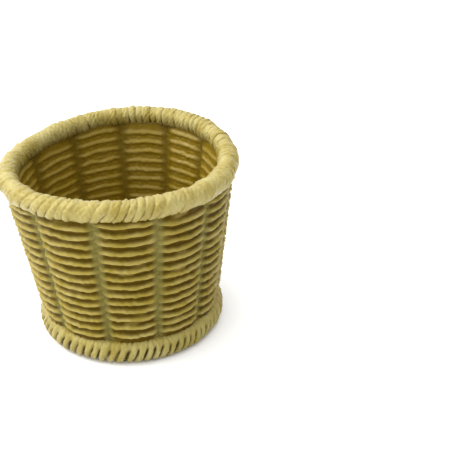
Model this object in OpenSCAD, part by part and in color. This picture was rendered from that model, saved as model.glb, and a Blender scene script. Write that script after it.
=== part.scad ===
// A small round basket with an open mouth, made the way a plain woven basket is made.
// Twelve upright stakes stand in a foot ring and end in a rim hoop. Each row of the wall is
// a pair of strands, one above the other, that swap sides between the stakes: where one
// passes outside a stake, the other passes inside. Both rings are wrapped with a flat strand.
// The axis leans: the origin is on the table, right under the rim's centre.

/* [Rim] */
// Radius of the rim's centre line
rim_r = 14.2; // [14:0.1:14.6]
// Radius of the rim's section over its wrapping
rim_section_r = 1.3; // [1.3:0.02:1.4]
// Height of the rim's centre line above the table
rim_z = 23; // [22.8:0.1:25]
// How far the rim stands higher on its right
rim_rise_x = 0.31; // [0:0.01:0.4]
// How far the rim stands higher at its back
rim_rise_y = 0.14; // [0:0.01:0.4]

/* [Foot] */
// Radius of the foot ring's centre line
foot_r = 11.4; // [11.3:0.05:11.6]
// Half the width of the foot ring's section over its wrapping
foot_half_w = 1.3; // [1.25:0.01:1.4]
// Half the height of the foot ring's section over its wrapping
foot_half_h = 1.35; // [1.3:0.01:1.4]
// How far the foot's centre stands to the right of the rim's centre
foot_x = 0.42; // [0:0.02:0.6]
// How far the foot's centre stands in front of the rim's centre
foot_forward = 1.2; // [0:0.05:1.4]
// Thickness of the base disc inside the foot ring
base_t = 1.2; // [0.8:0.1:1.6]

/* [Wall] */
// Number of rows, each of two strands
row_count = 14; // [8:1:14]
// Height of the lowest row's middle
first_row_z = 4.4; // [4.3:0.02:4.44]
// Height from one row to the next
row_pitch = 1.26; // [1.255:0.001:1.263]
// How far the rows halfway up sit below even spacing
row_sag = 0.15; // [0:0.01:0.2]
// Radius over the wall's ridges at the top of the foot ring
wall_low_r = 12.4; // [12.3:0.05:12.5]
// Radius over the wall's ridges at the underside of the rim
wall_high_r = 15.05; // [14.95:0.05:15.15]

/* [Strands] */
// Radius of an upright stake
stake_r = 0.42; // [0.3:0.01:0.42]
// Half the width of a wall strand, measured through the wall
strand_half_w = 0.34; // [0.25:0.01:0.34]
// How far a strand swings out of the stakes' circle, to each side
strand_swing = 0.78; // [0.78:0.01:0.85]
// Half the height from a row's lower strand to its upper one
strand_step = 0.3; // [0.3:0.005:0.31]
// Half the height of a strand where it passes a stake
ridge_half_h = 0.55; // [0.4:0.01:0.58]
// Half the height of a strand where two cross between stakes
cross_half_h = 0.295; // [0.2:0.005:0.295]
// Half the thickness of the flat strand that wraps the rings
wrap_half_t = 0.22; // [0.18:0.01:0.22]
// Half the width of the strand that wraps the rim
rim_wrap_half_w = 0.32; // [0.26:0.01:0.32]
// Half the width of the strand that wraps the foot ring
foot_wrap_half_w = 0.24; // [0.2:0.01:0.24]

/* [Layout] */
// Turn of the whole layout of stakes about the upright axis, in degrees
stake_turn = 0; // [-10:1:10]
// How far the stakes crowd together on one side, in degrees
crowding = 8.5; // [0:0.1:8.6]
// Direction in which the stakes crowd together, in degrees from the right
crowded_at = 25; // [-90:1:90]

/* [Hidden] */
stake_count = 12;
stake_step = 360 / stake_count;
foot_y = -foot_forward;
foot_z = foot_half_h;
foot_top_z = 2 * foot_half_h;
rim_low_z = rim_z - rim_section_r;

// Rings in one loop of a wall strand, and sides of its section
strand_rings = 4 * stake_count;
strand_sides = 5;
// Turns of wrapping between two stakes, and rings in each turn
rim_wraps_per_bay = 7;
foot_wraps_per_bay = 6;
rings_per_wrap = 8;
// The hoop inside a wrapping: the flats of the turns just clear it
flat_of_turn = cos(180 / rings_per_wrap);
hoop_gap = 0.02;
rim_hoop_r = (rim_section_r - wrap_half_t) * flat_of_turn - wrap_half_t - hoop_gap;
foot_hoop_half_w = (foot_half_w - wrap_half_t) * flat_of_turn - wrap_half_t - hoop_gap;
foot_hoop_half_h = (foot_half_h - wrap_half_t) * flat_of_turn - wrap_half_t - hoop_gap;
foot_hoop_corners = 20;
// Turns are pushed together towards the middle of each bay where the stakes enter the ring
rim_bunching = 0.86;
foot_bunching = 0.79;
// How far a turn runs on round the ring, in degrees, between one side and the other
rim_slant = 1;
foot_slant = 1.6;
// The stakes end inside the two hoops
stake_low_z = 0.85;
base_edge = 0.25;

weave_tan = [0.78, 0.68, 0.38];
rim_cream = [0.86, 0.78, 0.5];
foot_cream = [0.8, 0.71, 0.43];
stake_tan = [0.62, 0.53, 0.28];
core_tan = [0.7, 0.6, 0.34];
base_tan = [0.74, 0.64, 0.37];

// Direction round the axis of layout angle u: even steps of u crowd together on one side
function azimuth(u) = u - crowding * sin(u - crowded_at);

// Layout angle of stake number i, counted from 0
function stake_u(i) = stake_turn + i * stake_step;

// Share of the foot's offset that is left at height z
function lean_share(z) = 1 - z / rim_z;

// How far the level rises at direction az and height z: none at the table, all at the rim
function rise(az, z) = (rim_rise_x * cos(az) + rim_rise_y * sin(az)) * z / rim_z;

// Point at direction az, radius r and height z of the leaning wall
function wall_point(az, r, z) = [
    foot_x * lean_share(z) + r * cos(az),
    foot_y * lean_share(z) + r * sin(az),
    z + rise(az, z)
];

// Radius over the wall's ridges at height z
function ridge_r(z) =
    wall_low_r + (wall_high_r - wall_low_r) * (z - foot_top_z) / (rim_low_z - foot_top_z);

// Radius of the stakes' circle at height z
function stake_circle_r(z) = ridge_r(z) - strand_swing - strand_half_w;

// Middle height of a row, counted from 1: even steps, less a sag that is largest halfway up
function row_z(row) =
    first_row_z + (row - 1) * row_pitch
        - row_sag * sin(180 * (row - 1) / (row_count - 1));

// One ring of a wall strand's section at layout angle u. side is 0 for the lower strand, which
// passes outside the first stake, and 180 for the upper one, so that they are always opposite.
function weaver_ring(row, side, u) =
    let (
        turn = (u - stake_turn) * stake_count / 2 + side,
        az = azimuth(u),
        z = row_z(row) - strand_step * cos(side),
        r = stake_circle_r(z) + strand_swing * cos(turn),
        half_h = cross_half_h + (ridge_half_h - cross_half_h) * pow(cos(turn), 2)
    )
    [for (j = [0 : strand_sides - 1])
        let (a = 360 * j / strand_sides)
        wall_point(az, r + strand_half_w * cos(a), z + half_h * sin(a))];

// Layout angle of a wrapping at turn t. bunched_side is +1 where the stakes enter the ring
// from above and -1 where they enter from below: there the turns stand clear of the stakes.
function wrap_u(t, wraps_per_bay, bunching, slant, bunched_side) =
    let (
        wrap_step = stake_step / wraps_per_bay,
        facing = -bunched_side * cos(360 * t),
        from_middle = (t * wrap_step) % stake_step - stake_step / 2
    )
    stake_turn + t * wrap_step
        + (bunching - 1) * from_middle * (1 + bunched_side * facing) / 2
        + slant * (facing - bunched_side);

// One ring of a wrapping round a hoop of radius hoop_r, with half_w and half_h the section's
// half sizes over the wrapping. Turn t starts on the side away from the stakes.
function wrap_ring(t, hoop_r, half_w, half_h, wraps_per_bay, wrap_half_w, bunching, slant,
    bunched_side) =
    let (
        beta = 360 * t - 90 * bunched_side,
        az = azimuth(wrap_u(t, wraps_per_bay, bunching, slant, bunched_side))
    )
    [for (corner = [[-1, -1], [1, -1], [1, 1], [-1, 1]])
        let (
            depth = wrap_half_t * (1 - corner.y),
            r = hoop_r + (half_w - depth) * cos(beta),
            turn = az + corner.x * wrap_half_w / hoop_r * 180 / PI
        )
        [r * cos(turn), r * sin(turn), (half_h - depth) * sin(beta)]];

// Closed loop through the rings, each a list of the same number of points
module loop_solid(rings) {
    n = len(rings);
    m = len(rings[0]);
    polyhedron(
        points = [for (ring = rings) each ring],
        faces = [
            for (i = [0 : n - 1], j = [0 : m - 1])
            let (
                next_i = (i + 1) % n,
                next_j = (j + 1) % m,
                a = i * m + j,
                b = i * m + next_j,
                c = next_i * m + next_j,
                d = next_i * m + j
            )
            each [[a, b, c], [a, c, d]]
        ]
    );
}

// Round rod between two points
module rod(from, to, r) {
    run = to - from;
    translate(from)
        rotate([0, acos(run.z / norm(run)), atan2(run.y, run.x)])
            cylinder(h = norm(run), r = r, $fn = 32);
}

// Puts its children in the rim's tilted plane, with the rim's centre as their origin
module at_rim() {
    translate([0, 0, rim_z])
        rotate([atan(rim_rise_y / rim_r), -atan(rim_rise_x / rim_r), 0])
            children();
}

// Puts its children at the middle of the foot ring
module at_foot() {
    translate([foot_x, foot_y, foot_z])
        children();
}

// The bare shape of stake i, also used to cut its sockets in the two hoops
module stake_rod(i) {
    az = azimuth(stake_u(i));
    rod(
        wall_point(az, stake_circle_r(stake_low_z), stake_low_z),
        wall_point(az, stake_circle_r(rim_z), rim_z),
        stake_r
    );
}

module stake(i) {
    color(stake_tan) stake_rod(i);
}

module base_disc() {
    disc_r = foot_r - foot_half_w;
    color(base_tan)
        translate([foot_x, foot_y, 0])
            rotate_extrude($fn = 96)
                polygon([
                    [0, 0], [disc_r - base_edge, 0], [disc_r, base_edge],
                    [disc_r, base_t - base_edge], [disc_r - base_edge, base_t], [0, base_t]
                ]);
}

module foot_hoop() {
    color(core_tan)
        difference() {
            at_foot()
                rotate_extrude($fn = 96)
                    translate([foot_r, 0])
                        polygon([
                            for (i = [0 : foot_hoop_corners - 1])
                            let (a = 360 * i / foot_hoop_corners)
                            [foot_hoop_half_w * cos(a), foot_hoop_half_h * sin(a)]
                        ]);
            for (i = [0 : stake_count - 1]) stake_rod(i);
        }
}

module rim_hoop() {
    color(core_tan)
        difference() {
            at_rim()
                rotate_extrude($fn = 96)
                    translate([rim_r, 0])
                        circle(r = rim_hoop_r, $fn = 24);
            for (i = [0 : stake_count - 1]) stake_rod(i);
        }
}

// Wrapping of a ring: one flat strand that goes round the hoop and round the ring
module wrapping(hoop_r, half_w, half_h, wraps_per_bay, wrap_half_w, bunching, slant,
    bunched_side) {
    ring_count = stake_count * wraps_per_bay * rings_per_wrap;
    loop_solid([
        for (i = [0 : ring_count - 1])
        wrap_ring(i / rings_per_wrap, hoop_r, half_w, half_h, wraps_per_bay, wrap_half_w,
            bunching, slant, bunched_side)
    ]);
}

module foot_wrapping() {
    color(foot_cream)
        at_foot()
            wrapping(foot_r, foot_half_w, foot_half_h, foot_wraps_per_bay, foot_wrap_half_w,
                foot_bunching, foot_slant, 1);
}

module rim_wrapping() {
    color(rim_cream)
        at_rim()
            wrapping(rim_r, rim_section_r, rim_section_r, rim_wraps_per_bay, rim_wrap_half_w,
                rim_bunching, rim_slant, -1);
}

// One strand of a row, closed on itself
module weaver(row, side) {
    color(weave_tan)
        loop_solid([
            for (i = [0 : strand_rings - 1])
            weaver_ring(row, side, stake_turn + 360 * i / strand_rings)
        ]);
}

base_disc();
foot_hoop();
foot_wrapping();
rim_hoop();
rim_wrapping();

stake(0);  // stake_01
stake(1);  // stake_02
stake(2);  // stake_03
stake(3);  // stake_04
stake(4);  // stake_05
stake(5);  // stake_06
stake(6);  // stake_07
stake(7);  // stake_08
stake(8);  // stake_09
stake(9);  // stake_10
stake(10);  // stake_11
stake(11);  // stake_12

weaver(1, 0);  // weaver_01_a
weaver(2, 0);  // weaver_02_a
weaver(3, 0);  // weaver_03_a
weaver(4, 0);  // weaver_04_a
weaver(5, 0);  // weaver_05_a
weaver(6, 0);  // weaver_06_a
weaver(7, 0);  // weaver_07_a
weaver(8, 0);  // weaver_08_a
weaver(9, 0);  // weaver_09_a
weaver(10, 0);  // weaver_10_a
weaver(11, 0);  // weaver_11_a
weaver(12, 0);  // weaver_12_a
weaver(13, 0);  // weaver_13_a
weaver(14, 0);  // weaver_14_a

weaver(1, 180);  // weaver_01_b
weaver(2, 180);  // weaver_02_b
weaver(3, 180);  // weaver_03_b
weaver(4, 180);  // weaver_04_b
weaver(5, 180);  // weaver_05_b
weaver(6, 180);  // weaver_06_b
weaver(7, 180);  // weaver_07_b
weaver(8, 180);  // weaver_08_b
weaver(9, 180);  // weaver_09_b
weaver(10, 180);  // weaver_10_b
weaver(11, 180);  // weaver_11_b
weaver(12, 180);  // weaver_12_b
weaver(13, 180);  // weaver_13_b
weaver(14, 180);  // weaver_14_b
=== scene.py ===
"""A small round basket in the look of a fine weave: waxy, cream yellow and a little uneven.

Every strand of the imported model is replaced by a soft, slightly squashed one, and the rim and
the foot ring by closed rings whose relief is a strand wound round and round. All lengths in the
classes are millimetres, and angles are radians unless a name says degrees. Shapes are worked out
as whole numpy arrays over a grid of two angles, and become metres when the mesh is made.
"""

from __future__ import annotations

import logging
import math
from dataclasses import dataclass
from enum import Enum

import bmesh
import bpy
import numpy as np
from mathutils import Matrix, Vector


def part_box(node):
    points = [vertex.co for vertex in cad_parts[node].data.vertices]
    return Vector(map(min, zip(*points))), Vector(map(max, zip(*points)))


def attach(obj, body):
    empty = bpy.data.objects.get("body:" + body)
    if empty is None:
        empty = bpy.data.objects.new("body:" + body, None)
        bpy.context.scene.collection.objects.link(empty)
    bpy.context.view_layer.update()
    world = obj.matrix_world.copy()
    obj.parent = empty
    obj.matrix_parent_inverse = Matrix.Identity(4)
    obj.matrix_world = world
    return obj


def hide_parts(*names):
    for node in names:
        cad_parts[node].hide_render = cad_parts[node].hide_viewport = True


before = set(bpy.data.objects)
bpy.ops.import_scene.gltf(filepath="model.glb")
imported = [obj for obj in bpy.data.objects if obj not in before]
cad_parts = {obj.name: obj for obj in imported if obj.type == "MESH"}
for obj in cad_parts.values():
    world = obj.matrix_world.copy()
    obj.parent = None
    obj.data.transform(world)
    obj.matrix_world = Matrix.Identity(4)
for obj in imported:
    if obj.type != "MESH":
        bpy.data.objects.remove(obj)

log = logging.getLogger("basket")

MM = 0.001
TAU = 2.0 * math.pi
BODY = "root"
POLE_MERGE_M = 1e-7
FLAT_EDGE_M = 1e-8

Array = np.ndarray
Colour = tuple[float, float, float]
Range = tuple[float, float]


class Winding(Enum):
    """Which of the two strands of a row is meant: where one is outside, the other is inside."""

    FIRST = ("a", 0.0)
    SECOND = ("b", math.pi)

    @property
    def letter(self) -> str:
        """The letter that ends the strand's name."""
        return self.value[0]

    @property
    def phase(self) -> float:
        """How far into its turn from outside to inside the strand is at the first stake."""
        return self.value[1]


# ---------------------------------------------------------------- shapes worked out by formula


def loop_noise(angle: Array, seed: int, low: int, high: int, waves: int = 7) -> Array:
    """Smooth unevenness round a closed loop.

    It is a sum of cosines of the angle. Each has a whole number of waves, drawn between low and
    high, a drawn phase and a drawn strength, so it meets itself after one turn.

    Args:
        angle: Angles round the loop.
        seed: Makes one loop differ from the next, and stay the same each run.
        low: Fewest waves in a turn.
        high: Most waves in a turn.
        waves: How many cosines are added.

    Returns:
        Values of about -1 to 1, in the shape of angle.
    """
    rng = np.random.default_rng(seed)
    count = rng.integers(low, high + 1, waves)
    phase = rng.uniform(0.0, TAU, waves)
    strength = rng.uniform(0.4, 1.0, waves)
    total = np.zeros_like(angle)
    for k in range(waves):
        total += strength[k] * np.cos(count[k] * angle + phase[k])
    return total / np.sqrt((strength**2).sum())


def ring_noise(round_it: Array, across: Array, seed: int, low: int, high: int,
               across_high: int, waves: int = 14) -> Array:
    """Smooth unevenness over a closed ring's whole skin.

    It is a sum of cosines of m times the angle round the ring plus n times the angle round its
    section, with m and n whole numbers, so the pattern closes both ways.

    Args:
        round_it: Angle round the ring at each point.
        across: Angle round the section at each point.
        seed: Makes one skin differ from the next, and stay the same each run.
        low: Smallest m.
        high: Largest m.
        across_high: Largest n, either way round.
        waves: How many cosines are added.

    Returns:
        Values of about -1 to 1, in the shape of the angles.
    """
    rng = np.random.default_rng(seed)
    m = rng.integers(low, high + 1, waves)
    n = rng.integers(-across_high, across_high + 1, waves)
    phase = rng.uniform(0.0, TAU, waves)
    strength = rng.uniform(0.4, 1.0, waves)
    total = np.zeros(np.broadcast(round_it, across).shape)
    for k in range(waves):
        total += strength[k] * np.cos(m[k] * round_it + n[k] * across + phase[k])
    return total / np.sqrt((strength**2).sum())


def smooth_step(low: float, high: float, value: Array) -> Array:
    """0 on low's side, 1 on high's side, and an even S curve between them."""
    t = np.clip((value - low) / (high - low), 0.0, 1.0)
    return t * t * (3.0 - 2.0 * t)


def angle_between(angle: Array, other: float) -> Array:
    """The shorter way round from one angle to another, from -pi to pi."""
    return np.angle(np.exp(1j * (angle - other)))


def round_a_centre(centre: Array, az: Array, r: Array, z: Array) -> Array:
    """Points at height z that lie in direction az, at radius r, from a centre."""
    x = centre[0] + r * np.cos(az)
    y = centre[1] + r * np.sin(az)
    return np.stack(np.broadcast_arrays(x, y, z), -1)


@dataclass(frozen=True)
class Ripple:
    """One kind of unevenness along a loop: its size, and how many waves of it go round."""

    size: float
    low: int
    high: int
    seed_step: int = 0

    def along(self, u: Array, seed: int) -> Array:
        """Its value at each angle of the loop."""
        return self.size * loop_noise(u, seed + self.seed_step, self.low, self.high)


@dataclass(frozen=True)
class SkinRipple(Ripple):
    """One kind of unevenness over a ring's skin, which changes round the section too."""

    across_high: int = 2
    waves: int = 14

    def over(self, u: Array, across: Array, seed: int) -> Array:
        """Its value at each point of the skin."""
        noise = ring_noise(u, across, seed + self.seed_step, self.low, self.high,
                           self.across_high, self.waves)
        return self.size * noise


def grid_faces(n: int, m: int, closed_across: bool) -> Array:
    """The faces of a grid of points that is closed the first way.

    Args:
        n: Points round the piece.
        m: Points round the section.
        closed_across: Whether the section is a loop.

    Returns:
        Array of faces by 4, with the numbers of each face's points.
    """
    i = np.arange(n)[:, None]
    j = np.arange(m if closed_across else m - 1)[None, :]
    ahead = (i + 1) % n
    aside = (j + 1) % m
    corners = [i * m + j, ahead * m + j, ahead * m + aside, i * m + aside]
    return np.stack(corners, -1).reshape(-1, 4)


def skin_mesh(name: str, points: Array, masks: dict[str, Array], closed_across: bool = True
              ) -> bpy.types.Object:
    """Makes a closed skin from a grid of points in millimetres.

    The grid's first index goes round the piece, and always meets itself. The second goes round
    the section. Where the section isn't a loop, its first and last points are poles: all their
    copies lie at one place and are merged.

    Args:
        name: Name of the object.
        points: Array of n by m by 3.
        masks: Values of 0 to 1 at each point, kept on the mesh for the material to read.
        closed_across: Whether the section is a loop.

    Returns:
        The object, with faces that point outwards and smooth shading.
    """
    n, m = points.shape[:2]
    quads = grid_faces(n, m, closed_across)
    flat = points.reshape(-1, 3)
    a, b, c, d = (flat[quads[:, k]] for k in range(4))
    # Six times the volume inside: it is negative where the faces point inwards.
    volume = np.einsum("ij,ij->i", a, np.cross(b, c)).sum()
    volume += np.einsum("ij,ij->i", a, np.cross(c, d)).sum()
    if volume < 0.0:
        quads = quads[:, ::-1]
    mesh = bpy.data.meshes.new(name)
    mesh.vertices.add(n * m)
    mesh.vertices.foreach_set("co", (flat * MM).astype(np.float32).ravel())
    mesh.loops.add(quads.size)
    mesh.loops.foreach_set("vertex_index", quads.astype(np.int32).ravel())
    mesh.polygons.add(len(quads))
    mesh.polygons.foreach_set("loop_start", np.arange(0, quads.size, 4, dtype=np.int32))
    mesh.polygons.foreach_set("use_smooth", np.ones(len(quads), dtype=bool))
    mesh.update(calc_edges=True)
    for mask, values in masks.items():
        layer = mesh.attributes.new(mask, "FLOAT", "POINT")
        spread = np.broadcast_to(values, (n, m))
        layer.data.foreach_set("value", spread.astype(np.float32).ravel())
    if not closed_across:
        merge_poles(mesh)
    mesh.validate()
    thing = bpy.data.objects.new(name, mesh)
    bpy.context.scene.collection.objects.link(thing)
    return thing


def merge_poles(mesh: bpy.types.Mesh) -> None:
    """Merges points that lie at one place, and drops the faces that this leaves without area."""
    work = bmesh.new()
    work.from_mesh(mesh)
    bmesh.ops.remove_doubles(work, verts=work.verts, dist=POLE_MERGE_M)
    bmesh.ops.dissolve_degenerate(work, edges=work.edges, dist=FLAT_EDGE_M)
    work.to_mesh(mesh)
    work.free()


@dataclass
class BasketForm:
    """The shape that all pieces share: a flared, leaning and slightly uneven round wall."""

    rim_centre: Array
    rim_r: float
    foot_centre: Array
    foot_r: float
    foot_half_h: float
    rim_section_r: float = 1.3
    foot_half_w: float = 1.3
    rim_rise_x: float = 0.31
    rim_rise_y: float = 0.14
    saddle: float = 0.2
    oval: float = 0.021
    three_lobes: float = 0.0205
    three_lobes_at: float = math.radians(45.7)
    crowding: float = math.radians(8.5)
    crowded_at: float = math.radians(25.0)
    stake_count: int = 12
    wall_low_r: float = 12.2
    wall_high_r: float = 14.97

    @classmethod
    def from_frame(cls) -> "BasketForm":
        """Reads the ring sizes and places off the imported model's own boxes."""
        rim_low, rim_high = (np.array(v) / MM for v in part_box("rim_wrapping"))
        foot_low, foot_high = (np.array(v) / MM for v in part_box("foot_wrapping"))
        hoop_low, hoop_high = (np.array(v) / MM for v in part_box("rim_hoop"))
        return cls(
            rim_centre=(hoop_low + hoop_high) / 2,
            rim_r=(rim_high[0] - rim_low[0]) / 2 - cls.rim_section_r,
            foot_centre=(foot_low + foot_high) / 2,
            foot_r=(foot_high[0] - foot_low[0]) / 2 - cls.foot_half_w,
            foot_half_h=(foot_high[2] - foot_low[2]) / 2,
        )

    def azimuth(self, u: Array) -> Array:
        """Direction round the axis of layout angle u: even steps crowd together on one side."""
        return u - self.crowding * np.sin(u - self.crowded_at)

    def rim_rise(self, az: Array) -> Array:
        """How far the rim stands above its mean height: a tilt, and a saddle of two highs."""
        tilt = self.rim_rise_x * np.cos(az) + self.rim_rise_y * np.sin(az)
        return tilt - self.saddle * np.cos(2 * az)

    def out_of_round(self, az: Array) -> Array:
        """Share by which the rim's radius is larger in a direction: an oval and three lobes."""
        lobes = self.three_lobes * np.cos(3 * az + math.pi - self.three_lobes_at)
        return self.oval * np.sin(2 * az) + lobes

    def ridge_r(self, z: Array) -> Array:
        """Radius over the wall's ridges at height z: a straight flare."""
        low_z = 2 * self.foot_half_h
        high_z = self.rim_centre[2] - self.rim_section_r
        flare = self.wall_high_r - self.wall_low_r
        return self.wall_low_r + flare * (z - low_z) / (high_z - low_z)

    def place(self, az: Array, r: Array, z: Array) -> Array:
        """Point of the leaning, uneven wall at direction az, radius r and height z.

        The centre moves in a line from the foot's to the rim's, and the rim's tilt, saddle and
        oval grow with the height.

        Args:
            az: Direction.
            r: Radius from the leaning axis.
            z: Height on an even wall.

        Returns:
            Array with a last axis of x, y, z.
        """
        up = z / self.rim_centre[2]
        r = r * (1 + self.out_of_round(az) * up)
        x = self.foot_centre[0] * (1 - up) + r * np.cos(az)
        y = self.foot_centre[1] * (1 - up) + r * np.sin(az)
        return np.stack(np.broadcast_arrays(x, y, z + self.rim_rise(az) * up**2), -1)


# ------------------------------------------------------------------------------------- finishes


@dataclass(frozen=True)
class Socket:
    """One output of a node, so that formulas of nodes can be written in a line each."""

    tree: bpy.types.NodeTree
    out: bpy.types.NodeSocket

    def feed(self, target: bpy.types.NodeSocket) -> None:
        """Links this output to an input."""
        self.tree.links.new(self.out, target)


@dataclass(frozen=True)
class WaxFinish:
    """Waxy cast resin: cream yellow, a little see-through, with shade painted into its relief.

    The colour is a cloudy mix of crest and body. It turns to the shade colour, a painted shade,
    by the mesh's own mask of painted shade: shade under the ridges and in creases and gaps. It
    turns to inner, a darker and browner painted shade of the basket's inside, by the mask of the
    wall's inside, and to stain by the mask of the upright valleys. Lumps, fine grain and small
    beads of the casting are in the bump, and the roughness changes in patches. Names that end in
    _m are depths in metres, and scales are in waves per metre. Where inner_coat is given, the coat
    changes to it on the wall's inside.
    """

    name: str
    crest: Colour
    body: Colour
    # Painted shade: the colour that the relief takes where shade falls.
    shade_colour: Colour
    stain: Colour
    # Painted shade of the basket's inside: darker and browner where the wall faces in.
    inner: Colour = (0.225, 0.14, 0.001)
    inner_shade_share: float = 0.85
    stain_share: float = 0.6
    shade_range: Range = (0.3, 1.0)
    tone_range: Range = (0.35, 0.7)
    roughness: float = 0.42
    smoother: float = 0.08
    rougher: float = 0.1
    rough_range: Range = (0.3, 0.7)
    see_through: float = 0.12
    see_through_tint: Colour = (1.0, 0.7, 0.25)
    see_through_m: float = 0.0006
    coat: float = 0.22
    coat_roughness: float = 0.22
    inner_coat: float | None = None
    inner_coat_range: Range = (0.2, 1.0)
    specular: float = 0.5
    specular_tint: Colour = (1.0, 0.85, 0.2)
    refraction: float = 1.5
    cloud_scale: float = 420.0
    grain: float = 0.35
    grain_scale: float = 2600.0
    grain_m: float = 0.00006
    beads: float = 0.5
    bead_scale: float = 620.0
    bead_reach: float = 0.28
    bead_m: float = 0.00007
    lumps: float = 0.5
    lump_scale: float = 1300.0
    lump_m: float = 0.00012

    def build(self) -> bpy.types.Material:
        """Makes the material.

        It reads the mask of painted shade and the masks valley and inner off the mesh. A mask that
        a mesh doesn't carry counts as 0 everywhere.

        Returns:
            The node material.
        """
        material = bpy.data.materials.new(self.name)
        material.use_nodes = True
        tree = material.node_tree
        tree.nodes.clear()
        shader = tree.nodes.new("ShaderNodeBsdfPrincipled")
        output = tree.nodes.new("ShaderNodeOutputMaterial")
        tree.links.new(shader.outputs["BSDF"], output.inputs["Surface"])
        place = Socket(tree, tree.nodes.new("ShaderNodeTexCoord").outputs["Object"])
        clouds = self.noise(tree, place, self.cloud_scale, detail=3.0)
        self.colour(tree, clouds).feed(shader.inputs["Base Color"])
        rough = self.remap(tree, clouds, self.rough_range,
                           (self.roughness - self.smoother, self.roughness + self.rougher))
        rough.feed(shader.inputs["Roughness"])
        self.relief(tree, place).feed(shader.inputs["Normal"])
        if self.inner_coat is None:
            shader.inputs["Coat Weight"].default_value = self.coat
        else:
            coat = self.remap(tree, self.mask(tree, "inner"), self.inner_coat_range,
                              (self.coat, self.inner_coat))
            coat.feed(shader.inputs["Coat Weight"])
        shader.inputs["IOR"].default_value = self.refraction
        shader.inputs["Specular IOR Level"].default_value = self.specular
        shader.inputs["Specular Tint"].default_value = (*self.specular_tint, 1.0)
        shader.inputs["Subsurface Weight"].default_value = self.see_through
        shader.inputs["Subsurface Radius"].default_value = self.see_through_tint
        shader.inputs["Subsurface Scale"].default_value = self.see_through_m
        shader.inputs["Coat Roughness"].default_value = self.coat_roughness
        return material

    @staticmethod
    def mask(tree: bpy.types.NodeTree, name: str) -> Socket:
        """Reads one of the masks that the mesh carries."""
        node = tree.nodes.new("ShaderNodeAttribute")
        node.attribute_name = name
        return Socket(tree, node.outputs["Fac"])

    @staticmethod
    def noise(tree: bpy.types.NodeTree, place: Socket, scale: float, detail: float) -> Socket:
        """Cloudy noise at a scale, in waves per metre."""
        node = tree.nodes.new("ShaderNodeTexNoise")
        node.inputs["Scale"].default_value = scale
        node.inputs["Detail"].default_value = detail
        place.feed(node.inputs["Vector"])
        return Socket(tree, node.outputs["Fac"])

    @staticmethod
    def remap(tree: bpy.types.NodeTree, value: Socket, source: Range, target: Range) -> Socket:
        """Maps the source range of a value to the target range, and holds it there outside."""
        node = tree.nodes.new("ShaderNodeMapRange")
        node.inputs["From Min"].default_value = source[0]
        node.inputs["From Max"].default_value = source[1]
        node.inputs["To Min"].default_value = target[0]
        node.inputs["To Max"].default_value = target[1]
        value.feed(node.inputs["Value"])
        return Socket(tree, node.outputs["Result"])

    @staticmethod
    def bump(tree: bpy.types.NodeTree, height: Socket, strength: float, distance: float,
             under: Socket | None = None) -> Socket:
        """Raises the surface by a height, on top of the relief of an earlier bump if given."""
        node = tree.nodes.new("ShaderNodeBump")
        node.inputs["Strength"].default_value = strength
        node.inputs["Distance"].default_value = distance
        height.feed(node.inputs["Height"])
        if under is not None:
            under.feed(node.inputs["Normal"])
        return Socket(tree, node.outputs["Normal"])

    @staticmethod
    def blend(tree: bpy.types.NodeTree, factor: Socket, first: Socket | Colour,
              second: Socket | Colour) -> Socket:
        """Mixes two colours by a factor: the first where it is 0, the second where it is 1."""
        node = tree.nodes.new("ShaderNodeMix")
        node.data_type = "RGBA"
        factor.feed(node.inputs["Factor"])
        sockets = [s for s in node.inputs if s.type == "RGBA"]
        for target, value in zip(sockets, (first, second)):
            if isinstance(value, Socket):
                value.feed(target)
            else:
                target.default_value = (*value, 1.0)
        result = [s for s in node.outputs if s.type == "RGBA"][0]
        return Socket(tree, result)

    def colour(self, tree: bpy.types.NodeTree, clouds: Socket) -> Socket:
        """Clouded colour, with painted shade browner inside and darker in the grooves, and duller
        in the valleys.
        """
        high = self.remap(tree, clouds, self.tone_range, (0.0, 1.0))
        skin = self.blend(tree, high, self.body, self.crest)
        # Painted shade on the inside of the wall.
        hidden = self.remap(tree, self.mask(tree, "inner"), (0.0, 1.0), (0.0, self.inner_shade_share))
        skin = self.blend(tree, hidden, skin, self.inner)
        # Painted shade in the grooves under the ridges, in the creases and in the gaps.
        low = self.remap(tree, self.mask(tree, "depth"), self.shade_range, (0.0, 1.0))
        deep = self.blend(tree, low, skin, self.shade_colour)
        dull = self.remap(tree, self.mask(tree, "valley"), (0.0, 1.0), (0.0, self.stain_share))
        return self.blend(tree, dull, deep, self.stain)

    def relief(self, tree: bpy.types.NodeTree, place: Socket) -> Socket:
        """Soft lumps first, then fine grain, then round beads, as one chain of bumps."""
        soft = self.noise(tree, place, self.lump_scale, detail=2.0)
        lumpy = self.bump(tree, soft, self.lumps, self.lump_m)
        fine = self.noise(tree, place, self.grain_scale, detail=4.0)
        grainy = self.bump(tree, fine, self.grain, self.grain_m, lumpy)
        cells = tree.nodes.new("ShaderNodeTexVoronoi")
        cells.inputs["Scale"].default_value = self.bead_scale
        place.feed(cells.inputs["Vector"])
        from_bead = Socket(tree, cells.outputs["Distance"])
        bead = self.remap(tree, from_bead, (0.0, self.bead_reach), (1.0, 0.0))
        return self.bump(tree, bead, self.beads, self.bead_m, grainy)


# In each finish below, the colour for the grooves, creases and gaps is painted shade.
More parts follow.
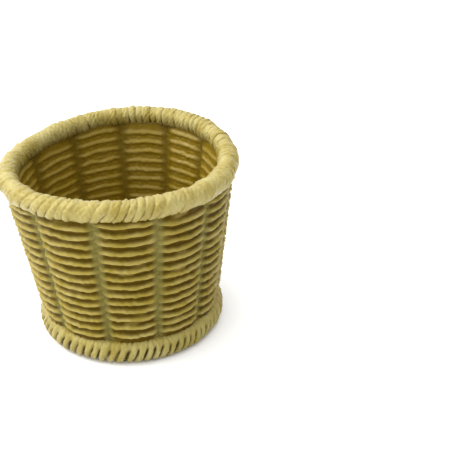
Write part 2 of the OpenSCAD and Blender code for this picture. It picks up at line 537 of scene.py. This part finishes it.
WEAVE = WaxFinish(
    name="weave_wax", crest=(0.365, 0.295, 0.095), body=(0.285, 0.218, 0.038),
    shade_colour=(0.07, 0.038, 0.0004), stain=(0.14, 0.13, 0.04), roughness=0.38, specular=0.2,
    coat=0.0, inner_coat=0.45, grain=0.8)
RIM = WaxFinish(
    name="rim_wax", crest=(0.37, 0.315, 0.118), body=(0.278, 0.215, 0.048),
    shade_colour=(0.09, 0.052, 0.002), stain=(0.28, 0.24, 0.09), roughness=0.38, specular=0.4,
    coat=0.25, grain=0.7)
FOOT = WaxFinish(
    name="foot_wax", crest=(0.35, 0.30, 0.11), body=(0.272, 0.213, 0.048),
    shade_colour=(0.045, 0.024, 0.0006), stain=(0.26, 0.22, 0.08), roughness=0.38, specular=0.35,
    coat=0.12, grain=0.7)
# Painted shade: the hidden stakes and hoops, the same wax, coloured as dark as the shade they sit
# in.
SHADED_CORE = WaxFinish(
    name="core_painted_shade", crest=(0.14, 0.09, 0.006), body=(0.11, 0.07, 0.004),
    shade_colour=(0.08, 0.045, 0.001), stain=(0.12, 0.09, 0.01), specular=0.2, coat=0.03)
# Painted shade: the floor takes the darker, browner colour of the shaded inside.
SHADED_BASE = WaxFinish(
    name="base_painted_shade", crest=(0.26, 0.18, 0.02), body=(0.21, 0.14, 0.012),
    shade_colour=(0.09, 0.05, 0.002), stain=(0.14, 0.11, 0.02), specular=0.2, coat=0.03)


# --------------------------------------------------------------------------------------- pieces


def dress(thing: bpy.types.Object, finish: bpy.types.Material, slot: str, *nodes: str) -> None:
    """Gives a piece its finish and its body, and hides the CAD nodes it stands for."""
    thing.data.materials.append(finish)
    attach(thing, BODY)
    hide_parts(*nodes)
    log.info("%s: %d faces", thing.name, len(thing.data.polygons))


@dataclass
class WovenWall:
    """The wall: rows of two strands, one above the other, that swap sides between the stakes.

    A field ending in _range holds the two values between which smooth_step goes from 0 to 1.
    """

    form: BasketForm
    rows: int = 14
    first_z: float = 4.54
    pitch: float = 1.26
    sag: float = 0.15
    step: float = 0.3
    droop: float = 0.14
    swing: float = 0.43
    squareness: float = 1.3
    skirt_w: float = 0.2
    skirt_half_h: float = 0.86
    crest_w: float = 0.46
    crest_up_h: float = 0.6
    crest_low_h: float = 0.38
    crest_below: float = 0.14
    inner_w: float = 0.21
    inner_half_h: float = 0.45
    inner_low: float = 0.45
    settle: float = 0.45
    settle_rows: float = 2.0
    top_skirt_z: float = 22.25
    low_skirt_z: float = 2.45
    crest_power: float = 1.7
    # Painted shade: how fast it darkens above and below a crest's peak.
    shade_power_above: float = 1.5
    shade_power_below: float = 1.8
    hidden_crest: float = 0.12
    outer_range: Range = (-0.1, 0.35)
    inner_range: Range = (-0.1, 0.8)
    melted: float = 0.3
    melted_range: Range = (0.4, 1.8)
    melted_patches: SkinRipple = SkinRipple(1.0, 4, 18, across_high=4)
    melted_seed: int = 55
    melted_period: float = 8.0
    face_range: Range = (0.35, -0.35)
    mask_range: Range = (0.3, -0.3)
    crossing_flush: float = 0.8
    crossing_range: Range = (0.86, 1.0)
    valley_range: Range = (0.92, 1.0)
    inner_valley: float = 0.2
    # Painted shade: less at the valleys, more on the inside and at its crossings, less on inner
    # crests.
    valley_less_shade: float = 0.35
    valley_less_shade_range: Range = (0.94, 1.0)
    inner_painted_shade: float = 0.44
    inner_crossing_shade: float = 0.22
    inner_crossing_range: Range = (0.8, 1.0)
    inner_crest_less_shade: float = 0.4
    inner_smoother: float = 0.6
    shared_wave: Ripple = Ripple(0.06, 2, 9)
    shared_seed: int = 77
    rows_sharing: int = 3
    wave: Ripple = Ripple(0.055, 8, 30)
    jitter: Ripple = Ripple(0.02, 40, 90, seed_step=2)
    long_lumps: Ripple = Ripple(0.08, 6, 60, seed_step=3)
    short_lumps: Ripple = Ripple(0.08, 60, 120, seed_step=4)
    crest_spread: Ripple = Ripple(0.10, 6, 50, seed_step=5)
    grain: SkinRipple = SkinRipple(0.018, 60, 120, seed_step=9, across_high=4)
    dents: SkinRipple = SkinRipple(0.022, 20, 60, seed_step=19)
    first_seed: int = 1000
    steps_round: int = 640
    steps_across: int = 36

    @property
    def middle_depth(self) -> float:
        """How far the stakes' circle lies inside the ridges' outer faces."""
        return self.skirt_w + self.crest_w + self.swing

    def strand_z(self, row: int, winding: Winding) -> float:
        """Middle height of a strand.

        The row's middle goes up in even steps, less a sag that is largest halfway up. The
        first strand lies a step below it and the second a step above, and the lowest of the
        second strands have settled a little.

        Args:
            row: The row, counted from 1 at the foot.
            winding: Which strand of the row.

        Returns:
            The height over the table.
        """
        middle = self.first_z + (row - 1) * self.pitch
        middle -= self.sag * math.sin(math.pi * (row - 1) / (self.rows - 1))
        if winding is Winding.FIRST:
            return middle - self.step
        return middle + self.step - self.settle * math.exp(-(row - 1) / self.settle_rows)

    def reaches(self, row: int, level: float) -> tuple[float, float]:
        """How far a skirt reaches up and down: the outermost rows fill up to the two rings."""
        up = self.skirt_half_h
        down = self.skirt_half_h
        if row == self.rows:
            up = max(up, self.top_skirt_z - level)
        if row == 1:
            down = max(down, level - self.low_skirt_z)
        return up, down

    def middle_z(self, row: int, level: float, outside: Array, u: Array, seed: int) -> Array:
        """Height of a strand's middle round the wall: lower where it is outside, and wavy."""
        z = level - self.droop * outside
        z = z + self.shared_wave.along(u, self.shared_seed + row // self.rows_sharing)
        return z + self.wave.along(u, seed) + self.jitter.along(u, seed)

    def outer_crest(self, up: Array, height: Array) -> tuple[Array, Array]:
        """How proud the outer face stands, 0 to 1, and how much painted shade it takes, 0 to 1.

        The crest is a power of a cosine of the height from its peak, long and gentle above the
        peak, short and steep below it. The painted shade grows faster below the peak than above,
        as shade under a lip, and is full away from the crest, as on the top row's skirt under the
        rim.

        Args:
            up: Height from the strand's middle.
            height: Factor on the crest's height.

        Returns:
            The two shares, in the shape of up.
        """
        above = up + self.crest_below
        reach = np.where(above > 0, self.crest_up_h, self.crest_low_h) * height
        crest = np.cos(math.pi / 2 * np.minimum(np.abs(above) / reach, 1.0)) ** self.crest_power
        return crest, 1 - crest ** np.where(above > 0, self.shade_power_above, self.shade_power_below)

    def inner_crest(self, up: Array, height: Array) -> Array:
        """How proud the inner face stands, 0 to 1: a thin even ridge."""
        away = np.minimum(np.abs(up) / (self.inner_half_h * height), 1.0)
        return np.cos(math.pi / 2 * away) ** 2

    def strand(self, row: int, winding: Winding) -> bpy.types.Object:
        """One strand of a row, as a section carried round the wall.

        At layout angle u the turn is half the stake count times u, plus half a turn for the
        second strand. The section's middle is the stakes' circle plus the swing times the
        squared-off cosine of the turn. The section is a flat skirt, which meets the skirts
        above and below, with a crest along its middle: outwards where the strand is outside,
        inwards where it is inside, and almost gone where it crosses its partner. On the inside,
        and for the most part at a crossing, the skirt is flush: it takes the wall's flare at
        its own height, so that the skirts make one slope.

        Args:
            row: The row, counted from 1 at the foot.
            winding: Which strand of the row.

        Returns:
            The strand's object.
        """
        u = np.linspace(0.0, TAU, self.steps_round, endpoint=False)[:, None]
        a = np.linspace(0.0, TAU, self.steps_across, endpoint=False)[None, :]
        seed = self.first_seed + row * 10 + (winding is Winding.SECOND)
        turn = self.form.stake_count / 2 * u + winding.phase
        outside = np.tanh(self.squareness * np.cos(turn)) / math.tanh(self.squareness)
        crossing = np.abs(np.sin(turn))
        level = self.strand_z(row, winding)
        z = self.middle_z(row, level, outside, u, seed)
        share = 2 / math.pi * np.arcsin(np.sin(a))
        reach_up, reach_down = self.reaches(row, level)
        up = np.where(share > 0, reach_up, reach_down) * share
        height = 1 + self.crest_spread.along(u, seed)
        patches = self.melted_patches.over(u, (z + up) * TAU / self.melted_period, self.melted_seed)
        melted = self.melted * smooth_step(*self.melted_range, patches)
        outer, outer_shade = self.outer_crest(up, height)
        outer = outer + (1 - outer) * melted
        shown = smooth_step(*self.outer_range, outside)
        outer = outer * (self.hidden_crest + (1 - self.hidden_crest) * shown)
        inner = self.inner_crest(up, height) * smooth_step(*self.inner_range, -outside)
        inner = inner * (self.inner_low + (1 - self.inner_low) * (row - 1) / (self.rows - 1))
        lumps = 1 + self.long_lumps.along(u, seed) + self.short_lumps.along(u, seed)
        skirt = self.skirt_w * np.sqrt(np.clip(1 - share**4, 0, 1))
        lining = self.skirt_w * np.sqrt(np.clip(1 - share**12, 0, 1))
        outward = np.cos(a) > 0
        outer_face = skirt + self.crest_w * lumps * outer
        inner_face = -lining - self.inner_w * lumps * inner
        inside = smooth_step(*self.face_range, np.cos(a))
        crossed = self.crossing_flush * smooth_step(*self.crossing_range, crossing)
        flare = self.form.ridge_r(z + up) - self.form.ridge_r(z)
        out = np.where(outward, outer_face, inner_face) + np.maximum(inside, crossed) * flare
        middle_r = self.form.ridge_r(z) - self.middle_depth + self.swing * outside
        rough = self.grain.over(u, a, seed) + self.dents.over(u, a, seed)
        rough = rough * (1 - self.inner_smoother * inside)
        points = self.form.place(self.form.azimuth(u), middle_r + out + rough, z + up)
        # Painted shade, less where the ridges have melted together.
        masks = self.masks(np.cos(a), crossing, inner, outer_shade * (1 - melted))
        return skin_mesh(f"wall_strand_{row:02d}_{winding.letter}", points, masks)

    def masks(self, facing: Array, crossing: Array, inner: Array, outer_shade: Array
              ) -> dict[str, Array]:
        """What the material reads off a strand: painted shade, upright valleys and the inside.

        Args:
            facing: 1 on the section's outer side and -1 on its inner side.
            crossing: 1 where the strand crosses its partner, 0 where it passes a stake.
            inner: How proud the inner face stands, 0 to 1.
            outer_shade: How much painted shade the outer face takes, 0 to 1.

        Returns:
            The masks by name.
        """
        outward = facing > 0
        less_shade = self.valley_less_shade * smooth_step(*self.valley_less_shade_range, crossing)
        inner_painted_shade = self.inner_painted_shade * (1 - inner)
        darker = self.inner_crossing_shade * smooth_step(*self.inner_crossing_range, crossing)
        valley = smooth_step(*self.valley_range, crossing)
        hidden = smooth_step(*self.mask_range, facing)
        # Painted shade: under the outer ridges, less at the valleys; on the inside between the
        # inner crests and more where the strands cross. The inner mask puts on the inside's painted
        # shade colour, less on the inner crests.
        return {
            "depth": np.where(outward, outer_shade * (1 - less_shade), inner_painted_shade + darker),
            "valley": valley * np.where(outward, 1.0, self.inner_valley),
            "inner": hidden * (1 - self.inner_crest_less_shade * inner),
        }

    def build(self, finish: bpy.types.Material) -> None:
        """Makes every strand of every row."""
        for row in range(1, self.rows + 1):
            for winding in Winding:
                thing = self.strand(row, winding)
                dress(thing, finish, "weave_strand", f"weaver_{row:02d}_{winding.letter}")


@dataclass
class Stakes:
    """The twelve uprights that the rows are woven on."""

    form: BasketForm
    wall: WovenWall
    radius: float = 0.32
    low_z: float = 0.9
    below_rim: float = 0.2
    end_power: int = 16
    uneven: Ripple = Ripple(0.08, 2, 14, seed_step=300)
    # Painted shade: how far the stakes' colour goes towards the shade colour.
    painted_shade_share: float = 0.6
    steps_along: int = 80
    steps_round: int = 20

    def stake(self, i: int) -> bpy.types.Object:
        """One upright: a round section carried up the wall, drawn in to a point at both ends.

        Args:
            i: The stake, counted from 0.

        Returns:
            The stake's object.
        """
        a = np.linspace(0.0, TAU, self.steps_round, endpoint=False)[:, None]
        t = np.linspace(0.0, 1.0, self.steps_along)[None, :]
        high_z = self.form.rim_centre[2] - self.below_rim
        z = self.low_z + (high_z - self.low_z) * t
        ends = np.sqrt(np.clip(1 - (2 * t - 1) ** self.end_power, 0.0, 1.0))
        radius = self.radius * ends * (1 + self.uneven.along(t * TAU, i))
        az = self.form.azimuth(np.array(TAU * i / self.form.stake_count))
        circle_r = self.form.ridge_r(z) - self.wall.middle_depth
        turn = radius * np.sin(a) / circle_r
        points = self.form.place(az + turn, circle_r + radius * np.cos(a), z)
        masks = {"depth": self.painted_shade_share + 0 * a * t}
        return skin_mesh(f"stake_rod_{i + 1:02d}", points, masks, closed_across=False)

    def build(self, finish: bpy.types.Material) -> None:
        """Makes all the stakes."""
        for i in range(self.form.stake_count):
            dress(self.stake(i), finish, "stake", f"stake_{i + 1:02d}")


@dataclass
class WrappedRing:
    """A ring wound with one flat strand, whose turns have sunk into each other."""

    form: BasketForm
    name: str
    seed: int
    radius: float
    half_w: float
    half_h: float
    turns: int
    slant: float
    slant_spread: float
    crease_depth: float
    crease_width: float
    crown_depth: float
    turn_spread: float
    uneven: float
    roughness: float
    least_open: float
    closed_patches: float
    # Painted shade in the creases between the turns.
    crease_shade: float
    beads: int = 120
    bead_r: float = 0.17
    bead_h: float = 0.15
    bead_sizes: Range = (0.5, 1.2)
    uneven_low: int = 4
    uneven_high: int = 13
    wobble: SkinRipple = SkinRipple(0.06, 20, 50, seed_step=1)
    swelling: SkinRipple = SkinRipple(0.03, 3, 30, seed_step=3)
    grain: SkinRipple = SkinRipple(1.0, 50, 170, seed_step=4, across_high=14, waves=24)
    patches: SkinRipple = SkinRipple(1.0, 15, 60, seed_step=8, across_high=3)
    patch_range: Range = (0.6, -1.3)
    gap_widths: Range = (0.7, 1.35)
    most_slanted_at: float = math.radians(-120.0)
    # Painted shade in the hollows round each turn.
    hollow_shade: float = 0.25
    steps_round: int = 1800
    steps_across: int = 52

    def middle(self, az: Array) -> tuple[Array, Array]:
        """Radius and height of the ring's centre line in each direction."""
        raise NotImplementedError

    def strength(self, u: Array, beta: Array) -> Array:
        """How open the grooves between the turns are, from 0 to 1, over the ring's skin."""
        raise NotImplementedError

    def thickness(self, az: Array) -> Array:
        """Share of the section's full size in each direction; its outer top stays in place."""
        return 1 + 0 * az

    def skin(self) -> tuple[Array, dict[str, Array]]:
        """The ring's skin: an ellipse carried round the ring, with the turns' relief.

        The place along the winding is the number of turns times the layout angle, moved on by
        the slant times the sine of the angle round the section, and made uneven. Each whole
        number of it is a gap between two turns. A gap is a narrow bell-shaped crease, drawn
        deeper or shallower and wider or narrower for each gap and closed up in patches, in a
        wider hollow that leaves each turn round. Each turn is also drawn a little thicker or
        thinner. The section's size follows thickness, and its outer top stays in place.

        Returns:
            The grid of points and its mask of painted shade in the creases and hollows.
        """
        u = np.linspace(0.0, TAU, self.steps_round, endpoint=False)[:, None]
        b = np.linspace(0.0, TAU, self.steps_across, endpoint=False)[None, :]
        az = self.form.azimuth(u)
        wobble = self.uneven * loop_noise(u, self.seed, self.uneven_low, self.uneven_high)
        wobble = wobble + self.wobble.over(u, b, self.seed)
        lean = self.slant * (1 + self.slant_spread * np.cos(az - self.most_slanted_at))
        place = self.turns * u / TAU - lean * np.sin(b) + wobble
        gap = np.round(place)
        from_gap = np.abs(place - gap)
        rng = np.random.default_rng(self.seed + 5)
        gap_number = gap.astype(int) % self.turns
        turn_number = np.floor(place).astype(int) % self.turns
        opened = rng.uniform(self.least_open, 1.0, self.turns)[gap_number]
        widened = rng.uniform(*self.gap_widths, self.turns)[gap_number]
        thicker = rng.uniform(-1.0, 1.0, self.turns)[turn_number]
        crease = np.exp(-((from_gap / (self.crease_width * widened)) ** 2))
        crown = (1 - 2 * from_gap) ** 2
        rounded = self.crown_depth * (0.5 + 0.5 * opened)
        closed = smooth_step(*self.patch_range, self.patches.over(u, b, self.seed))
        opened = opened * self.strength(u, b) * (1 - self.closed_patches * closed)
        swell = self.swelling.over(u, b, self.seed)
        swell = swell + self.roughness * self.grain.over(u, b, self.seed)
        swell = swell + self.turn_spread * thicker * (1 - crown)
        fill = 1 + swell - opened * self.crease_depth * crease - rounded * crown
        # Painted shade in the open creases and in the hollows round the turns.
        depth = opened * (self.crease_shade * crease + self.hollow_shade * crown)
        ring_r, ring_z = self.middle(az)
        proud = self.bead_relief(u, b)
        thick = self.thickness(az)
        r = ring_r + self.half_w * (1 - thick) + (self.half_w * fill * thick + proud) * np.cos(b)
        z = ring_z + self.half_h * (1 - thick) + (self.half_h * fill * thick + proud) * np.sin(b)
        return self.set_in_place(az, r, z), {"depth": np.clip(depth, 0.0, 1.0)}

    def bead_relief(self, u: Array, b: Array) -> Array:
        """Casting beads: round bumps, as bell curves of the distance from drawn places.

        Args:
            u: Angle round the ring.
            b: Angle round the section.

        Returns:
            Height of the beads at each point.
        """
        rng = np.random.default_rng(self.seed + 6)
        total = np.zeros(np.broadcast(u, b).shape)
        smallest, largest = self.bead_sizes
        drawn = rng.uniform((0.0, 0.0, smallest), (TAU, TAU, largest), (self.beads, 3))
        for at_u, at_b, size in drawn:
            along = self.radius * angle_between(u, at_u)
            across = self.half_h * angle_between(b, at_b)
            bell = np.exp(-(along**2 + across**2) / (self.bead_r * size) ** 2)
            total += self.bead_h * size * bell
        return total

    def set_in_place(self, az: Array, r: Array, z: Array) -> Array:
        """Turns direction, radius and height into points."""
        raise NotImplementedError

    def build(self, finish: bpy.types.Material, slot: str, node: str) -> None:
        """Makes the ring as one closed skin."""
        points, masks = self.skin()
        dress(skin_mesh(self.name, points, masks), finish, slot, node)


@dataclass
class WrappedRim(WrappedRing):
    """The rim's wrapping, soft and mostly closed, with open slanted turns in places."""

    smooth_at_degrees: tuple[float, ...] = (178.0, -40.0)
    smooth_reach: float = 0.45
    smoothed: float = 0.5
    settled: float = 0.1
    thin_at_degrees: float = 115.0
    thin_reach: float = 0.62
    thinned: float = 0.05
    least_patch: float = 0.5
    patch_waves: Ripple = Ripple(1.0, 3, 14, seed_step=7)
    least_side: float = 0.45
    side_range: Range = (0.5, -0.3)

    def middle(self, az: Array) -> tuple[Array, Array]:
        """A slightly oval loop that is tilted and dips like a saddle."""
        ring_r = self.radius * (1 + self.form.out_of_round(az))
        return ring_r, self.form.rim_centre[2] - self.settled + self.form.rim_rise(az)

    def strength(self, u: Array, beta: Array) -> Array:
        """Patches of open gaps between smoother stretches; more open on the outside."""
        patches = smooth_step(-1.0, 1.0, self.patch_waves.along(u, self.seed))
        az = self.form.azimuth(u)
        smooth = 0
        for at in self.smooth_at_degrees:
            away = angle_between(az, math.radians(at))
            smooth = smooth + np.exp(-((away / self.smooth_reach) ** 2))
        side = smooth_step(*self.side_range, np.sin(beta))
        side = self.least_side + (1 - self.least_side) * side
        patches = self.least_patch + (1 - self.least_patch) * patches
        return patches * side * (1 - self.smoothed * smooth)

    def thickness(self, az: Array) -> Array:
        """Thinner at the back left, as a bell curve of the direction."""
        away = angle_between(az, math.radians(self.thin_at_degrees))
        return 1 - self.thinned * np.exp(-((away / self.thin_reach) ** 2))

    def set_in_place(self, az: Array, r: Array, z: Array) -> Array:
        """Points round the middle of the frame, where the rim's centre is."""
        return round_a_centre(np.zeros(2), az, r, z)


@dataclass
class WrappedFoot(WrappedRing):
    """The foot's wrapping: separate slanted turns, with dark painted shade in gaps low on the
    outside.
    """

    top_range: Range = (0.25, 0.85)
    under_range: Range = (-1.0, -0.7)
    least_under: float = 0.3
    outer_range: Range = (-0.7, 0.1)
    mean_patch: float = 0.95
    patch_waves: Ripple = Ripple(0.15, 4, 30, seed_step=7)

    def middle(self, az: Array) -> tuple[Array, Array]:
        """A level round loop on the table."""
        return self.radius + 0 * az, self.half_h + 0 * az

    def strength(self, u: Array, beta: Array) -> Array:
        """Open over the outer side; closed at the top, at the inside and partly underneath."""
        low = 1 - smooth_step(*self.top_range, np.sin(beta))
        under = smooth_step(*self.under_range, np.sin(beta))
        closing = self.least_under + (1 - self.least_under) * under
        closing = closing * smooth_step(*self.outer_range, np.cos(beta))
        patches = self.mean_patch + self.patch_waves.along(u, self.seed)
        return np.clip(low * closing * patches, 0.0, 1.0)

    def set_in_place(self, az: Array, r: Array, z: Array) -> Array:
        """Points round the foot's centre, kept above the table."""
        return round_a_centre(self.form.foot_centre, az, r, np.maximum(z, 0.0))


@dataclass
class WovenBase:
    """The basket's floor: a thin disc whose top has rounds of the same weave, in painted shade."""

    form: BasketForm
    thickness: float = 1.2
    edge: float = 0.3
    buried: float = 0.45
    round_pitch: float = 1.3
    relief: float = 0.16
    bay_shift: float = 0.25
    bay_steepness: float = 3.0
    flat_middle: Range = (0.3, 1.5)
    steps_round: int = 360
    steps_out: int = 90

    def build(self, finish: bpy.types.Material) -> None:
        """Makes the disc: out over the top, round the edge and back in under it.

        The top's height is the thickness less the relief times one minus the size of the sine
        of half-turns per round, with every second stake bay half a round further out. The edge
        is a quarter circle above and below.
        """
        radius = self.form.foot_r - self.form.foot_half_w + self.buried
        u = np.linspace(0.0, TAU, self.steps_round, endpoint=False)[:, None]
        az = self.form.azimuth(u)
        out = np.linspace(0.0, radius, self.steps_out)[None, :]
        side = np.tanh(self.bay_steepness * np.sin(u * self.form.stake_count / 2))
        bay = self.bay_shift * side
        ridges = np.abs(np.sin(math.pi * (out / self.round_pitch + bay)))
        past = np.clip(out - radius + self.edge, 0, None) / self.edge
        drop = 1 - np.sqrt(np.clip(1 - past**2, 0, 1))
        sunk = self.relief * (1 - ridges) * smooth_step(*self.flat_middle, out)
        top = self.thickness - sunk - self.edge * drop
        bottom = self.edge * drop[:, ::-1] + 0 * u
        r = np.concatenate([out, out[:, ::-1]], 1) + 0 * u
        z = np.concatenate([top, bottom], 1)
        points = round_a_centre(self.form.foot_centre, az, r, z)
        # Painted shade in the grooves between the rounds on top; none underneath.
        masks = {"depth": np.concatenate([1 - ridges, 0 * top], 1)}
        thing = skin_mesh("woven_base", points, masks, closed_across=False)
        dress(thing, finish, "base", "base_disc")


# --------------------------------------------------------------------------------------- studio


@dataclass
class Studio:
    """A pale floor, soft light from the upper left, and the camera.

    Lengths are metres here, apart from camera_at and the fields ending in _mm.
    """

    lens_mm: float = 72.6
    camera_at: tuple[float, float, float] = (14.878, -112.212, 76.181)
    look_down_degrees: float = 29.86
    sensor_mm: float = 36.0
    nearest: float = 0.005
    floor_size: float = 3.0
    floor_colour: Colour = (0.92, 0.92, 0.92)
    floor_roughness: float = 0.9
    floor_specular: float = 0.1
    key_at: tuple[float, float, float] = (-0.24, 0.02, 0.25)
    key_size: float = 0.16
    key_power: float = 0.45
    key_tint: Colour = (1.0, 0.99, 0.96)
    lit_point: tuple[float, float, float] = (0.0, 0.0, 0.012)
    even_part: float = 0.52
    upper_part: float = 1.95
    side_part: float = 0.95
    front_part: float = -0.2
    least: float = 0.05

    def floor(self) -> None:
        """A large pale plane just under the foot."""
        half = self.floor_size / 2
        mesh = bpy.data.meshes.new("floor")
        corners = [(-half, -half, 0), (half, -half, 0), (half, half, 0), (-half, half, 0)]
        mesh.from_pydata(corners, [], [(0, 1, 2, 3)])
        thing = bpy.data.objects.new("floor", mesh)
        bpy.context.scene.collection.objects.link(thing)
        material = bpy.data.materials.new("floor_pale")
        material.use_nodes = True
        shader = material.node_tree.nodes["Principled BSDF"]
        shader.inputs["Base Color"].default_value = (*self.floor_colour, 1.0)
        shader.inputs["Roughness"].default_value = self.floor_roughness
        shader.inputs["Specular IOR Level"].default_value = self.floor_specular
        mesh.materials.append(material)

    def key_light(self) -> None:
        """A square soft light that faces the basket."""
        data = bpy.data.lights.new("key", "AREA")
        data.size = self.key_size
        data.energy = self.key_power
        data.color = self.key_tint
        lamp = bpy.data.objects.new("key", data)
        lamp.location = self.key_at
        aim = Vector(self.lit_point) - Vector(self.key_at)
        lamp.rotation_euler = aim.to_track_quat("-Z", "Y").to_euler()
        bpy.context.scene.collection.objects.link(lamp)

    def camera(self) -> None:
        """The camera, close and looking down."""
        data = bpy.data.cameras.new("camera")
        data.sensor_width = self.sensor_mm
        data.lens = self.lens_mm
        data.clip_start = self.nearest
        view = bpy.data.objects.new("camera", data)
        view.location = tuple(c * MM for c in self.camera_at)
        view.rotation_euler = (math.radians(90.0 - self.look_down_degrees), 0.0, 0.0)
        bpy.context.scene.collection.objects.link(view)
        bpy.context.scene.camera = view

    def surroundings(self) -> bpy.types.World:
        """A white room that is brighter above and to the left.

        Its brightness in a direction is the even part, plus the upper part times how far the
        direction points up, less the side part times how far it points right, plus the front
        part times how far it points to the front. It is never below the least.

        Returns:
            The world.
        """
        world = bpy.data.worlds.new("studio")
        world.use_nodes = True
        tree = world.node_tree
        direction = tree.nodes.new("ShaderNodeTexCoord").outputs["Generated"]
        dot = tree.nodes.new("ShaderNodeVectorMath")
        dot.operation = "DOT_PRODUCT"
        dot.inputs[1].default_value = (-self.side_part, -self.front_part, self.upper_part)
        tree.links.new(direction, dot.inputs[0])
        strength = dot.outputs["Value"]
        for operation, number in (("ADD", self.even_part), ("MAXIMUM", self.least)):
            step = tree.nodes.new("ShaderNodeMath")
            step.operation = operation
            step.inputs[1].default_value = number
            tree.links.new(strength, step.inputs[0])
            strength = step.outputs["Value"]
        tree.links.new(strength, tree.nodes["Background"].inputs["Strength"])
        tree.nodes["Background"].inputs["Color"].default_value = (1.0, 1.0, 1.0, 1.0)
        return world

    def build(self) -> None:
        """Sets up the floor, the surroundings, the light and the camera."""
        self.floor()
        bpy.context.scene.world = self.surroundings()
        bpy.context.scene.view_settings.view_transform = "Standard"
        self.key_light()
        self.camera()


def dress_cores(finish: bpy.types.Material) -> None:
    """Gives the two hoops inside the wrappings their dark finish of painted shade; their shape
    stays as it is.
    """
    for node in ("rim_hoop", "foot_hoop"):
        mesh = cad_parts[node].data
        mesh.materials.clear()
        mesh.materials.append(finish)


def main() -> None:
    """Builds the basket piece by piece, then the studio."""
    logging.basicConfig(level=logging.INFO, format="%(name)s: %(message)s")
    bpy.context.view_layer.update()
    form = BasketForm.from_frame()
    wall = WovenWall(form)
    weave, core = WEAVE.build(), SHADED_CORE.build()
    wall.build(weave)
    Stakes(form, wall).build(core)
    WrappedRim(
        form, "rim_wrap", seed=37, radius=form.rim_r, half_w=1.36, half_h=1.38, turns=84,
        slant=0.38, slant_spread=0.7, crease_depth=0.2, crease_width=0.11, crown_depth=0.08,
        turn_spread=0.07, uneven=0.2, roughness=0.026, least_open=0.2, closed_patches=0.85,
        crease_shade=1.7,
    ).build(RIM.build(), "rim_strand", "rim_wrapping")
    WrappedFoot(
        form, "foot_wrap", seed=41, radius=form.foot_r, half_w=form.foot_half_w,
        half_h=1.6, turns=72, slant=0.42, slant_spread=0.1, crease_depth=0.42, crease_width=0.17,
        crown_depth=0.05, turn_spread=0.03, uneven=0.15, roughness=0.022, least_open=0.8,
        closed_patches=0.3, crease_shade=1.3,
    ).build(FOOT.build(), "foot_strand", "foot_wrapping")
    WovenBase(form).build(SHADED_BASE.build())
    dress_cores(core)
    Studio().build()


if __name__ == "__main__":
    main()
